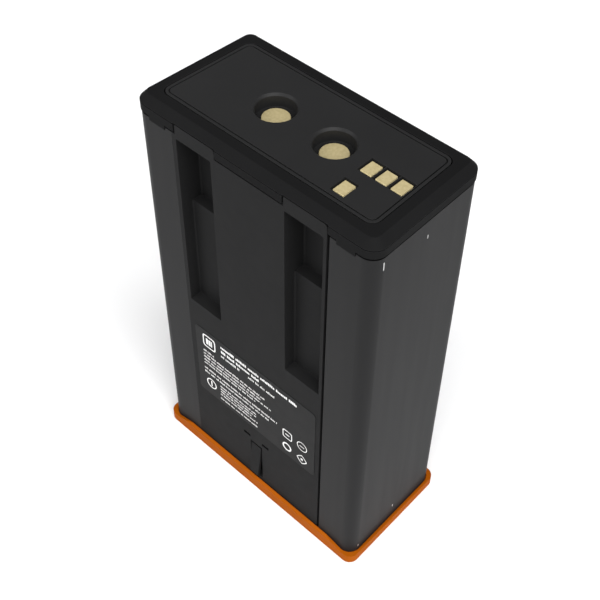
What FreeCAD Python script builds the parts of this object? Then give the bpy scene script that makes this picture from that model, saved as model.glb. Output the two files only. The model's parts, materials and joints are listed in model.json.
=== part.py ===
import FreeCAD, Part
import math
import os
import re
import Sketcher

# Slide-in battery pack. The origin is at the middle of the underside, +Z is up,
# the face with the two hook slots looks towards -Y and the wide side runs along X.
# In plan the pack is a trapezoid: it is a little wider at the front than at the back.

doc = FreeCAD.newDocument("battery_pack")
sheet = doc.addObject("Spreadsheet::Sheet", "sizes")

SIZES = {
    # whole pack
    "pack_height": 250.0,
    "shell_width_front": 147.8,
    "shell_narrowing": 2.3,
    "shell_depth": 73.5,
    "shell_wall": 2.0,
    "shell_corner": 7.0,
    "fit_gap": 0.2,
    # base bumper and the plate that closes the foot of the shell
    "bumper_height": 10.0,
    "bumper_proud": 2.0,
    "bumper_lip_gap": 0.4,
    "bumper_rebate": 4.0,
    "bumper_corner": 5.5,
    "bumper_dip": 3.0,
    "bumper_dip_near": 56.0,
    "bumper_dip_far": 68.0,
    "bumper_top_bevel": 1.2,
    "bumper_foot_bevel": 0.8,
    "base_plate_thickness": 5.0,
    # top cap
    "cap_height": 8.8,
    "cap_gap": 1.4,
    "cap_proud": 0.4,
    "cap_skirt": 4.05,
    "cap_crease": 0.6,
    "cap_crease_depth": 0.8,
    "cap_gasket_inset": 0.25,
    "tab_gap": 0.7,
    "cap_bevel_rise": 4.0,
    "cap_bevel_run": 3.7,
    "cap_rim_round": 0.5,
    "cap_lip_drop": 8.0,
    "cap_lip_wall": 1.8,
    "cap_ledge": 2.4,
    "tongue_inner": 53.2,
    "tongue_outer": 63.6,
    "tongue_drop": 2.6,
    # contact plate in the cap, and its gasket
    "plate_inset": 9.0,
    "plate_gap": 0.6,
    "plate_frame": 1.4,
    "plate_groove": 0.7,
    "plate_groove_depth": 1.2,
    "plate_thickness": 3.2,
    "plate_corner": 4.6,
    "gasket_thickness": 0.4,
    # power contact wells
    "well_spacing": 36.0,
    "well_radius": 9.9,
    "well_depth": 7.0,
    "well_bevel": 1.1,
    "well_wall": 1.8,
    "well_floor": 2.0,
    "disc_radius": 6.9,
    "disc_sink": 5.5,
    "disc_bevel": 0.5,
    "disc_dome": 0.25,
    "stem_radius": 3.0,
    "stem_length": 9.0,
    # signal contacts
    "pad_width": 5.9,
    "pad_length": 7.9,
    "pad_sink": 0.5,
    "pad_pitch": 8.5,
    "pad_first": 40.3,
    "pad_row": 1.1,
    "pad_single": 18.3,
    "pad_border": 1.1,
    "pad_well": 2.0,
    "pad_height": 6.0,
    "board_thickness": 1.6,
    "post_radius": 1.8,
    "board_screw_radius": 0.8,
    "board_screw_head": 1.5,
    # front panel
    "panel_left": 48.4,
    "panel_right": 47.8,
    "window_gap_left": 0.1,
    "window_gap_right": 1.6,
    "panel_flange": 5.0,
    "panel_flange_thickness": 1.6,
    "tab_left_outer": 46.4,
    "tab_left_inner": 20.4,
    "tab_right_inner": 22.4,
    "tab_corner": 2.0,
    "slot_inner": 23.0,
    "slot_outer": 46.0,
    "slot_drop": 2.5,
    "slot_length": 107.3,
    "slot_depth": 7.0,
    "hook_length": 41.6,
    "hook_depth": 13.0,
    "slot_round": 1.0,
    "slot_wall": 1.6,
    # latch finger, the clip that holds it and the slits for the clip's lugs
    "finger_top": 41.0,
    "finger_foot": 13.0,
    "finger_width": 7.4,
    "finger_trim": 1.3,
    "finger_thickness": 1.6,
    "finger_out": 2.0,
    "finger_gap": 0.8,
    "finger_top_gap": 1.5,
    "finger_root": 2.5,
    "finger_slope": 1.2,
    "root_gap": 0.3,
    "clip_thickness": 1.2,
    "clip_margin": 3.0,
    "lug_sink": 3.0,
    "slit_near": 4.6,
    "slit_far": 9.8,
    "slit_height": 46.1,
    "slit_width": 2.1,
    "slit_skin": 0.5,
    "slit_margin": 0.9,
    "slit_relief_drop": 2.6,
    # label
    "label_width": 89.4,
    "label_foot": 56.8,
    "label_top": 111.4,
    "label_thickness": 0.2,
    "label_corner": 2.5,
    # cells and their holders
    "cell_radius": 9.15,
    "cell_length": 65.0,
    "cell_gap": 0.9,
    "tier_gap": 5.0,
    "tier_stand": 4.0,
    "holder_height": 10.0,
    "holder_clearance": 0.95,
    "holder_margin": 0.8,
    "holder_front_margin": 1.8,
    "holder_corner": 5.0,
    "nickel_thickness": 0.3,
    "nickel_gap": 1.9,
    "nickel_overlap": 6.0,
    "rod_radius": 2.0,
    "rod_clearance": 4.35,
    "nut_radius": 3.8,
    "nut_height": 2.4,
    # power path
    "bus_width": 10.0,
    "bus_thickness": 1.0,
    "bus_inset": 10.5,
    "strap_thickness": 1.5,
    "strap_width": 14.0,
    "strap_post": 6.0,
    "fuse_width": 12.0,
    "fuse_height": 5.0,
    # management board
    "bms_width": 104.0,
    "bms_margin": 2.0,
    "bms_stand": 4.0,
    "switch_pitch": 11.0,
    "switch_width": 9.0,
    "switch_height": 12.0,
    "switch_depth": 3.0,
    "switch_rise": 6.0,
    "controller_size": 16.0,
    "controller_depth": 2.0,
    "controller_rise": 30.0,
    "socket_near": 20.0,
    "socket_far": 44.0,
    "socket_height": 8.0,
    "socket_depth": 5.0,
    "socket_rise": 34.0,
    "capacitor_near": 22.0,
    "capacitor_far": 34.0,
    "capacitor_rise": 38.0,
    "capacitor_radius": 4.5,
    "capacitor_depth": 6.0,
    "spacer_radius": 3.0,
    "ribbon_width": 16.0,
    "ribbon_thickness": 0.3,
    "flex_width": 2.5,
    "flex_start": 12.0,
    "flex_overlap": 12.0,
    "bead_radius": 1.9,
    "bead_length": 6.0,
    "foam_thickness": 2.0,
    "paper_thickness": 0.5,
    # screws and locking keys
    "screw_inset_side": 13.9,
    "screw_inset_front": 10.75,
    "screw_radius": 1.9,
    "screw_length": 9.0,
    "head_radius": 3.6,
    "head_height": 2.4,
    "head_sink": 1.0,
    "key_width": 0.6,
    "key_front": 30.2,
    "key_tall": 4.6,
    "key_short": 2.2,
    "key_top_drop": 4.0,
    "key_middle_drop": 9.8,
    "key_low_rise": 7.2,
    "key_foot_rise": 1.6,
}

for row, (alias, value) in enumerate(SIZES.items(), start=1):
    sheet.set("A%d" % row, alias)
    sheet.set("B%d" % row, str(value))
    sheet.setAlias("B%d" % row, alias)
doc.recompute()

# Formulas used in several places, in terms of the sheet's sizes.
TAPER = "(shell_narrowing / shell_depth)"
FRONT = "(shell_depth / 2)"
SHELL_FOOT = "(bumper_height - bumper_rebate)"
CAP_FOOT = "(pack_height - cap_height)"
SHELL_TOP = "(pack_height - cap_height - cap_gap)"
CREASE = "(pack_height - cap_height + cap_skirt)"
PLATE_FOOT = "(pack_height - plate_thickness)"
PANEL_THICK = "(shell_wall + fit_gap)"
FLANGE_BACK = "(shell_wall + fit_gap + panel_flange_thickness)"
SLOT_TOP = "(pack_height - cap_height - cap_gap - slot_drop)"
SLOT_FOOT = "(%s - slot_length)" % SLOT_TOP
HOOK_FOOT = "(%s - hook_length)" % SLOT_TOP
SCREW_X = "(shell_width_front / 2 - screw_inset_side)"
SCREW_Y = "(shell_depth / 2 - screw_inset_front)"
CELL_PITCH = "(2 * cell_radius + cell_gap)"
ROW_PITCH = "(%s * cos(30 deg))" % CELL_PITCH
HOLDER_BACK = "(shell_depth / 2 - shell_wall - holder_clearance)"
CELL_CENTRE = "(%s - holder_margin - cell_radius - %s)" % (HOLDER_BACK, ROW_PITCH)
HOLDER_FRONT = "(%s + cell_radius + holder_front_margin - %s)" % (ROW_PITCH, CELL_CENTRE)
HOLDER_SIDE = "(3 * %s + cell_radius + holder_margin)" % CELL_PITCH
ROD_X = "(2.5 * %s + cell_radius + rod_clearance)" % CELL_PITCH
BUS_X = "(%s - bus_inset)" % HOLDER_SIDE
TIER_PITCH = "(cell_length + tier_gap)"
TIER_FOOT = "(%s + base_plate_thickness + tier_stand)" % SHELL_FOOT
TIER_HEAD = "(%s + 2 * %s + cell_length)" % (TIER_FOOT, TIER_PITCH)
STRAP_FOOT = "(pack_height - well_depth - stem_length - strap_post)"
BMS_FOOT = "(%s + cell_length - holder_height - bms_margin)" % TIER_FOOT
BMS_TOP = "(%s + %s + cell_length)" % (TIER_FOOT, TIER_PITCH)
BMS_BACK = "(-%s - bms_stand)" % HOLDER_FRONT


def formula(text):
    """The expression with each size name pointed at its cell."""
    return re.sub(r"[a-z_]+", lambda m: "sizes." + m.group() if m.group() in SIZES else m.group(), text)


def number(text):
    """The value that an expression has now."""
    return float(sheet.evalExpression(formula(text)))


def bind(thing, prop, text):
    thing.setExpression(prop, formula(text))


# ---------------------------------------------------------------- PartDesign helpers

def new_body(name):
    body = doc.addObject("PartDesign::Body", name)
    body.Label = name
    return body


def new_sketch(body, name, plane="XY_Plane", offset="0"):
    """A sketch on one of the body's own origin planes, moved along its normal."""
    sketch = body.newObject("Sketcher::SketchObject", body.Name + "_" + name)
    origin = [part for part in body.Origin.OriginFeatures if part.Role == plane][0]
    sketch.AttachmentSupport = [(origin, "")]
    sketch.MapMode = "FlatFace"
    bind(sketch, "AttachmentOffset.Base.z", offset)
    return sketch


def place_point(sketch, edge, end, x, y):
    """Tie one end of an edge to the sketch's origin by its two distances."""
    for kind, axis, text in (("DistanceX", -2, x), ("DistanceY", -1, y)):
        value = number(text)
        if abs(value) < 1e-9:
            sketch.addConstraint(Sketcher.Constraint("PointOnObject", edge, end, axis))
            continue
        if value > 0:
            rule = Sketcher.Constraint(kind, -1, 1, edge, end, value)
        else:
            rule = Sketcher.Constraint(kind, edge, end, -1, 1, -value)
        index = sketch.addConstraint(rule)
        bind(sketch, "Constraints[%d]" % index, text if value > 0 else "-(%s)" % text)


def polygon(sketch, points):
    """A closed outline of straight edges through points given as pairs of expressions."""
    spots = [FreeCAD.Vector(number(x), number(y), 0) for x, y in points]
    count = len(points)
    first = sketch.GeometryCount
    for i in range(count):
        sketch.addGeometry(Part.LineSegment(spots[i], spots[(i + 1) % count]), False)
    for i in range(count):
        after = first + (i + 1) % count
        sketch.addConstraint(Sketcher.Constraint("Coincident", first + i, 2, after, 1))
        place_point(sketch, first + i, 1, *points[i])


def rectangle(sketch, x0, x1, y0, y1):
    polygon(sketch, [(x0, y0), (x1, y0), (x1, y1), (x0, y1)])


def circle(sketch, x, y, radius):
    spot = FreeCAD.Vector(number(x), number(y), 0)
    index = sketch.addGeometry(Part.Circle(spot, FreeCAD.Vector(0, 0, 1), number(radius)), False)
    rule = sketch.addConstraint(Sketcher.Constraint("Radius", index, number(radius)))
    bind(sketch, "Constraints[%d]" % rule, radius)
    place_point(sketch, index, 3, x, y)


def alcove(sketch, x0, x1, y0, y1, radius):
    """A rectangle whose two corners on the y1 side are rounded."""
    points = [
        (x0, y0), (x1, y0), (x1, "%s - %s" % (y1, radius)), ("%s - %s" % (x1, radius), y1),
        ("%s + %s" % (x0, radius), y1), (x0, "%s - %s" % (y1, radius)),
    ]
    spots = [FreeCAD.Vector(number(x), number(y), 0) for x, y in points]
    first = sketch.GeometryCount
    size = number(radius)
    right = FreeCAD.Vector(spots[3].x, spots[2].y, 0)
    left = FreeCAD.Vector(spots[4].x, spots[5].y, 0)
    up = FreeCAD.Vector(0, 0, 1)
    edges = [
        Part.LineSegment(spots[0], spots[1]),
        Part.LineSegment(spots[1], spots[2]),
        Part.ArcOfCircle(Part.Circle(right, up, size), 0, math.pi / 2),
        Part.LineSegment(spots[3], spots[4]),
        Part.ArcOfCircle(Part.Circle(left, up, size), math.pi / 2, math.pi),
        Part.LineSegment(spots[5], spots[0]),
    ]
    for edge in edges:
        sketch.addGeometry(edge, False)
    for i in range(6):
        sketch.addConstraint(Sketcher.Constraint("Coincident", first + i, 2, first + (i + 1) % 6, 1))
        place_point(sketch, first + i, 1, *points[i])
    for arc in (2, 4):
        rule = sketch.addConstraint(Sketcher.Constraint("Radius", first + arc, size))
        bind(sketch, "Constraints[%d]" % rule, radius)


def plan(body, name, inset, height, radius):
    """The pack's trapezoid outline with rounded corners, moved inwards by inset, at a height.

    A corner's arc meets its edges at radius / tan(half the corner's angle) from the corner.
    """
    sketch = new_sketch(body, name, offset=height)
    lean = "atan(%s)" % TAPER
    front = "(shell_width_front / 2 - (%s) * (1 + %s))" % (inset, TAPER)
    back = "(shell_width_front / 2 - shell_narrowing - (%s) * (1 - %s))" % (inset, TAPER)
    half = "(%s - (%s))" % (FRONT, inset)
    run_front = "((%s) / tan(45 deg - %s / 2))" % (radius, lean)
    run_back = "((%s) / tan(45 deg + %s / 2))" % (radius, lean)
    right = [
        ("%s - %s" % (front, run_front), "-" + half),
        ("%s - %s * sin(%s)" % (front, run_front, lean), "%s * cos(%s) - %s" % (run_front, lean, half)),
        ("%s + %s * sin(%s)" % (back, run_back, lean), "%s - %s * cos(%s)" % (half, run_back, lean)),
        ("%s - %s" % (back, run_back), half),
    ]
    points = right + [("-(%s)" % x, y) for x, y in reversed(right)]
    spots = [FreeCAD.Vector(number(x), number(y), 0) for x, y in points]
    size = number(radius)
    tilt = math.atan(number(TAPER))
    up = FreeCAD.Vector(0, 0, 1)
    quarter = math.pi / 2
    turns = [-quarter, tilt, quarter, 2 * quarter - tilt, 3 * quarter]
    arcs = {2 * i: turns[i:i + 2] for i in range(4)}
    for i in range(8):
        if i in arcs:
            level = spots[i] if i in (0, 4) else spots[i + 1]
            centre = level + FreeCAD.Vector(0, size if i in (0, 6) else -size, 0)
            edge = Part.ArcOfCircle(Part.Circle(centre, up, size), *arcs[i])
        else:
            edge = Part.LineSegment(spots[i], spots[(i + 1) % 8])
        sketch.addGeometry(edge, False)
    for i in range(8):
        sketch.addConstraint(Sketcher.Constraint("Coincident", i, 2, (i + 1) % 8, 1))
        place_point(sketch, i, 1, *points[i])
        if i in arcs:
            rule = sketch.addConstraint(Sketcher.Constraint("Radius", i, size))
            bind(sketch, "Constraints[%d]" % rule, radius)
    return sketch


def extrude(body, sketch, length, kind="Pad", reverse=False, both=False):
    """A pad or a pocket of a sketch; a pocket cuts against the sketch's normal."""
    feature = body.newObject("PartDesign::" + kind, "%s_%s" % (sketch.Name, kind.lower()))
    feature.Profile = sketch
    feature.Reversed = reverse
    feature.Midplane = both
    bind(feature, "Length", length)
    sketch.Visibility = False
    before = body.Tip
    doc.recompute()
    change = feature.Shape.Volume - (feature.BaseFeature.Shape.Volume if feature.BaseFeature else 0)
    if (change <= 0) == (kind == "Pad"):
        raise RuntimeError("%s of %s changed the volume the wrong way" % (kind, sketch.Name))
    body.Tip = feature if before else body.Tip
    return feature


def corner_edges(feature, sketch, picks=None):
    """Names of the straight edges that run along the sketch's normal through its corners."""
    normal = sketch.Placement.Rotation.multVec(FreeCAD.Vector(0, 0, 1))
    corners = [sketch.Placement.multVec(edge.StartPoint) for edge in sketch.Geometry]
    if picks is not None:
        corners = [corners[i] for i in picks]
    names = []
    for index, edge in enumerate(feature.Shape.Edges, start=1):
        if not isinstance(edge.Curve, Part.Line) or abs(edge.Curve.Direction.dot(normal)) < 0.999:
            continue
        spot = edge.Vertexes[0].Point
        for corner in corners:
            away = spot - corner
            if (away - normal * away.dot(normal)).Length < 1e-4:
                names.append("Edge%d" % index)
                break
    return names


def dress(body, kind, feature, names, prop, text):
    """A fillet or a chamfer on named edges of a feature."""
    if not names:
        raise RuntimeError("no edges to dress on " + feature.Name)
    trim = body.newObject("PartDesign::" + kind, feature.Name + "_" + kind.lower())
    trim.Base = (feature, names)
    bind(trim, prop, text)
    doc.recompute()
    return trim


def round_corners(body, feature, sketch, radius, picks=None):
    return dress(body, "Fillet", feature, corner_edges(feature, sketch, picks), "Radius", radius)


def level_edges(feature, height, reach=None):
    """Names of the edges that lie at a height, those further out than reach if it is given."""
    names = []
    for index, edge in enumerate(feature.Shape.Edges, start=1):
        box = edge.BoundBox
        if abs(box.ZMin - height) > 1e-4 or abs(box.ZMax - height) > 1e-4:
            continue
        middle = edge.CenterOfMass
        if reach is None or max(abs(middle.x) - reach[0], abs(middle.y) - reach[1]) > 0:
            names.append("Edge%d" % index)
    return names


# ---------------------------------------------------------------- Part helpers

def box(name, x0, x1, y0, y1, z0, z1):
    part = doc.addObject("Part::Box", name)
    bind(part, "Length", "(%s) - (%s)" % (x1, x0))
    bind(part, "Width", "(%s) - (%s)" % (y1, y0))
    bind(part, "Height", "(%s) - (%s)" % (z1, z0))
    bind(part, "Placement.Base.x", x0)
    bind(part, "Placement.Base.y", y0)
    bind(part, "Placement.Base.z", z0)
    return part


def cylinder(name, x, y, z, radius, height, turn=None):
    part = doc.addObject("Part::Cylinder", name)
    if turn:
        part.Placement = FreeCAD.Placement(FreeCAD.Vector(), turn)
    bind(part, "Radius", radius)
    bind(part, "Height", height)
    bind(part, "Placement.Base.x", x)
    bind(part, "Placement.Base.y", y)
    bind(part, "Placement.Base.z", z)
    return part


def hexagon(name, x, y, z, radius, height):
    part = doc.addObject("Part::Prism", name)
    part.Polygon = 6
    bind(part, "Circumradius", radius)
    bind(part, "Height", height)
    bind(part, "Placement.Base.x", x)
    bind(part, "Placement.Base.y", y)
    bind(part, "Placement.Base.z", z)
    return part


def join(kind, name, **links):
    part = doc.addObject("Part::" + kind, name)
    for prop, value in links.items():
        setattr(part, prop, value)
    return part


nodes = []


def node(part, name):
    part.Label = name
    nodes.append(part)
    return part


# ---------------------------------------------------------------- shell

def make_shell():
    """Sleeve with a full-height front window for the panel."""
    body = new_body("shell")
    outer = plan(body, "outer", "0", SHELL_FOOT, "shell_corner")
    sleeve = extrude(body, outer, "%s - %s" % (SHELL_TOP, SHELL_FOOT))
    inner = plan(body, "inner", "shell_wall", SHELL_TOP, "max(shell_corner - shell_wall; 0.5)")
    sleeve = extrude(body, inner, "%s - %s" % (SHELL_TOP, SHELL_FOOT), "Pocket")

    window = new_sketch(body, "window", "XZ_Plane", FRONT)
    rectangle(window, "-(panel_left + window_gap_left)", "panel_right + window_gap_right",
              "%s - 1" % SHELL_FOOT, "%s + 1" % SHELL_TOP)
    extrude(body, window, "shell_wall + 0.5", "Pocket")

    notches = new_sketch(body, "notches", "XZ_Plane", FRONT)
    foot = "%s - tongue_drop - fit_gap" % CAP_FOOT
    for low, high in (("-(tongue_outer + fit_gap)", "-(tongue_inner - fit_gap)"),
                      ("tongue_inner - fit_gap", "tongue_outer + fit_gap")):
        rectangle(notches, low, high, foot, "%s + 1" % SHELL_TOP)
    extrude(body, notches, "shell_wall + 0.5", "Pocket")

    keys = new_sketch(body, "key_slots", "YZ_Plane")
    for low, high, z0, z1 in KEYS:
        rectangle(keys, low, high, z0, z1)
    extrude(body, keys, "2 * shell_width_front", "Pocket", both=True)
    return node(body, "shell")


# Each locking key goes through a side wall: its two edges along Y, its foot and its top.
KEYS = [
    ("-(key_front + key_width / 2)", "-(key_front - key_width / 2)",
     CAP_FOOT + " - key_top_drop - key_tall", CAP_FOOT + " - key_top_drop"),
    ("-key_width / 2", "key_width / 2",
     CAP_FOOT + " - key_middle_drop - key_short", CAP_FOOT + " - key_middle_drop"),
    ("-(key_front + key_width / 2)", "-(key_front - key_width / 2)",
     "bumper_height + key_foot_rise - key_short", "bumper_height + key_foot_rise"),
    ("-key_width / 2", "key_width / 2",
     "bumper_height + key_low_rise - key_tall / 2", "bumper_height + key_low_rise"),
]


def make_keys():
    """Eight flat keys that fill the shell's side slots, flush with its outside."""
    parts = []
    for i, (y0, y1, z0, z1) in enumerate(KEYS):
        reach = "(shell_width_front / 2 - %s * (%s + %s) - 0.05)" % (TAPER, y1, FRONT)
        for side in ("left", "right"):
            near = "%s - shell_wall + 0.1" % reach
            ends = (near, reach) if side == "right" else ("-%s" % reach, "-(%s)" % near)
            parts.append(box("key_%s_%d" % (side, i), *ends, y0, y1, z0, z1))
    return node(join("Compound", "locking_keys", Links=parts), "locking_keys")


# ---------------------------------------------------------------- front panel

# The two slits above the latch finger: each one's two edges along X.
SLITS = (("-slit_far", "-slit_near"), ("slit_near", "slit_far"))


def make_panel():
    """Flush panel with two tabs at the top, two stepped hook slots and the latch window."""
    body = new_body("front_panel")
    face = new_sketch(body, "face", "XZ_Plane", FRONT)
    polygon(face, [
        ("-panel_left", SHELL_FOOT + " + fit_gap"), ("panel_right", SHELL_FOOT + " + fit_gap"),
        ("panel_right", CREASE), ("tab_right_inner", CREASE),
        ("tab_right_inner", SHELL_TOP), ("-tab_left_inner", SHELL_TOP),
        ("-tab_left_inner", CREASE), ("-tab_left_outer", CREASE),
        ("-tab_left_outer", SHELL_TOP), ("-panel_left", SHELL_TOP),
    ])
    plate = extrude(body, face, PANEL_THICK, reverse=True)
    round_corners(body, plate, face, "tab_corner", picks=(2, 6))

    flange = new_sketch(body, "flange", "XZ_Plane", "%s - %s" % (FRONT, PANEL_THICK))
    rectangle(flange, "-(panel_left + panel_flange)", "panel_left + panel_flange",
              SHELL_FOOT + " + fit_gap", "%s - tongue_drop - 2 * fit_gap" % CAP_FOOT)
    extrude(body, flange, "panel_flange_thickness", reverse=True)

    tub_start = "%s - %s" % (FRONT, FLANGE_BACK)
    steps = ((SLOT_FOOT, "slot_depth"), (HOOK_FOOT, "hook_depth"))
    sides = (("left", "-slot_outer", "-slot_inner"), ("right", "slot_inner", "slot_outer"))
    for foot, depth in steps:
        for side, low, high in sides:
            tub = new_sketch(body, "tub_%s_%s" % (depth, side), "XZ_Plane", tub_start)
            rectangle(tub, low + " - slot_wall", high + " + slot_wall",
                      foot + " - slot_wall", SLOT_TOP + " + slot_wall")
            extrude(body, tub, "%s + slot_wall - %s" % (depth, FLANGE_BACK), reverse=True)
    for foot, depth in steps:
        for side, low, high in sides:
            hollow = new_sketch(body, "hollow_%s_%s" % (depth, side), offset=SLOT_TOP)
            alcove(hollow, low, high, "-%s - 1" % FRONT, "-%s + %s" % (FRONT, depth), "slot_round")
            extrude(body, hollow, "%s - %s" % (SLOT_TOP, foot), "Pocket")

    window = new_sketch(body, "latch_window", "XZ_Plane", FRONT)
    rectangle(window, "-(finger_width / 2 + finger_gap)", "finger_width / 2 + finger_gap",
              "finger_foot - finger_gap", "finger_top + finger_top_gap")
    extrude(body, window, FLANGE_BACK + " + 0.5", "Pocket")
    slits = new_sketch(body, "slits", "XZ_Plane", FRONT)
    reliefs = new_sketch(body, "slit_reliefs", "XZ_Plane", FRONT + " - slit_skin")
    for low, high in SLITS:
        rectangle(slits, low, high, "slit_height - slit_width / 2", "slit_height + slit_width / 2")
        rectangle(reliefs, low + " - slit_margin", high + " + slit_margin",
                  "slit_height - slit_relief_drop", "slit_height + slit_width / 2 + slit_margin")
    extrude(body, slits, "slit_skin + 0.5", "Pocket")
    extrude(body, reliefs, FLANGE_BACK + " + 0.5", "Pocket")
    return node(body, "front_panel")


def make_finger():
    """Spring finger: a blade that leans outwards to its foot, where its right edge is cut back."""
    body = new_body("latch_finger")
    side = new_sketch(body, "side", "YZ_Plane")
    face = "-%s" % FRONT
    out = "-(%s + finger_out)" % FRONT
    root = "%s + %s - root_gap" % (face, FLANGE_BACK)
    polygon(side, [
        (face, "finger_top"), (out, "finger_foot + 2"), (out + " + finger_thickness / 2", "finger_foot"),
        (out + " + finger_thickness", "finger_foot"),
        (face + " + finger_thickness", "finger_top - finger_root"),
        (root, "finger_top - finger_root"), (root, "finger_top - finger_slope"),
    ])
    extrude(body, side, "finger_width", both=True)
    trim = new_sketch(body, "trim", "XZ_Plane", FRONT + " + finger_out + 1")
    polygon(trim, [
        ("finger_width / 2 - finger_trim", "finger_foot - 1"), ("finger_width / 2 + 1", "finger_foot - 1"),
        ("finger_width / 2 + 1", "finger_top - finger_root"),
        ("finger_width / 2", "finger_top - finger_root"),
    ])
    extrude(body, trim, "finger_out + 1 + " + FLANGE_BACK, "Pocket")
    return node(body, "latch_finger")


def make_clip():
    """Plate behind the panel at the finger's root, with two lugs forward into the hollows behind the slits."""
    body = new_body("latch_clip")
    plate = new_sketch(body, "plate", "XZ_Plane", "%s - %s" % (FRONT, FLANGE_BACK))
    rectangle(plate, "-(slit_far + clip_margin)", "slit_far + clip_margin",
              "finger_top - finger_root", "slit_height + clip_margin")
    extrude(body, plate, "clip_thickness", reverse=True)
    lugs = new_sketch(body, "lugs", "XZ_Plane", "%s - lug_sink" % FRONT)
    for low, high in SLITS:
        rectangle(lugs, low + " - slit_margin + fit_gap", high + " + slit_margin - fit_gap",
                  "slit_height - slit_relief_drop + fit_gap",
                  "slit_height + slit_width / 2 + slit_margin - fit_gap")
    extrude(body, lugs, "%s - lug_sink" % FLANGE_BACK, reverse=True)
    return node(body, "latch_clip")


def make_label():
    body = new_body("label_plate")
    face = new_sketch(body, "face", "XZ_Plane", FRONT)
    rectangle(face, "-label_width / 2", "label_width / 2", "label_foot", "label_top")
    plate = extrude(body, face, "label_thickness")
    round_corners(body, plate, face, "label_corner")
    return node(body, "label_plate")


# ---------------------------------------------------------------- top cap and contact plate

def make_cap():
    """Cap: skirt, crease, bevelled rim, recess for the contact plate, and a lip inside the shell."""
    body = new_body("top_cap")
    skirt = plan(body, "skirt", "-cap_proud", CAP_FOOT, "shell_corner + cap_proud")
    part = extrude(body, skirt, "cap_skirt")
    crease = plan(body, "crease", "cap_crease_depth - cap_proud", CREASE,
                  "shell_corner + cap_proud - cap_crease_depth")
    part = extrude(body, crease, "cap_crease")
    crown = plan(body, "crown", "-cap_proud", CREASE + " + cap_crease", "shell_corner + cap_proud")
    part = extrude(body, crown, "pack_height - %s - cap_crease" % CREASE)
    bevel = dress(body, "Chamfer", part, level_edges(part, number("pack_height")), "Size", "cap_bevel_run")
    bevel.ChamferType = "Two distances"
    bevel.FlipDirection = False
    bind(bevel, "Size2", "cap_bevel_rise")
    doc.recompute()
    top = bevel.Shape.Faces
    flat = max((f.BoundBox.YMax for f in top if f.BoundBox.ZMin > number("pack_height") - 1e-4))
    if abs(flat - number(FRONT + " + cap_proud - cap_bevel_run")) > 0.01:
        bevel.FlipDirection = True
        doc.recompute()
    rim = level_edges(bevel, number("pack_height"))
    dress(body, "Fillet", bevel, rim, "Radius", "cap_rim_round")

    recess = plan(body, "recess", "plate_inset - plate_gap", "pack_height", "plate_corner + plate_gap")
    extrude(body, recess, "plate_thickness + gasket_thickness", "Pocket")
    throat = plan(body, "throat", "plate_inset + cap_ledge", "pack_height - 1", "2")
    extrude(body, throat, "cap_height + 2", "Pocket")

    round_off = "max(shell_corner - shell_wall - fit_gap; 0.5)"
    lip = plan(body, "lip", "shell_wall + fit_gap", CAP_FOOT, round_off)
    extrude(body, lip, "cap_lip_drop", reverse=True)
    hollow = plan(body, "hollow", "shell_wall + fit_gap + cap_lip_wall", CAP_FOOT, "2")
    extrude(body, hollow, "cap_lip_drop + 1", "Pocket")
    clear = new_sketch(body, "panel_clear", offset=CAP_FOOT)
    rectangle(clear, "-(panel_left + panel_flange + 1)", "panel_left + panel_flange + 1",
              "-%s - 1" % FRONT, "-%s + hook_depth + slot_wall + 1" % FRONT)
    extrude(body, clear, "cap_lip_drop + 1", "Pocket")

    notches = new_sketch(body, "tab_notches", "XZ_Plane", FRONT + " + cap_proud + 1")
    for low, high in (("-(tab_left_outer + tab_gap)", "-(tab_left_inner - tab_gap)"),
                      ("tab_right_inner - tab_gap", "panel_right + tab_gap")):
        rectangle(notches, low, high, CAP_FOOT + " - 1", CREASE + " + cap_crease + tab_gap / 2")
    extrude(body, notches, "cap_proud + 1 + fit_gap + " + PANEL_THICK, "Pocket")

    tongues = new_sketch(body, "tongues", "XZ_Plane", FRONT + " + cap_proud")
    for low, high in (("-tongue_outer", "-tongue_inner"), ("tongue_inner", "tongue_outer")):
        rectangle(tongues, low, high, CAP_FOOT + " - tongue_drop", CAP_FOOT + " + 1")
    extrude(body, tongues, "cap_proud + shell_wall", reverse=True)
    return node(body, "top_cap")


WELLS = (("negative", "-well_spacing / 2"), ("positive", "well_spacing / 2"))
PADS = [("pad_first + %d * pad_pitch" % i, "-pad_row") for i in range(3)] + [("pad_first", "-pad_single")]
POSTS = [("pad_first + %d * pad_pitch" % i, "-pad_single") for i in (1, 2)]
BOARD_TOP = "(pack_height - pad_sink - pad_height)"


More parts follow.
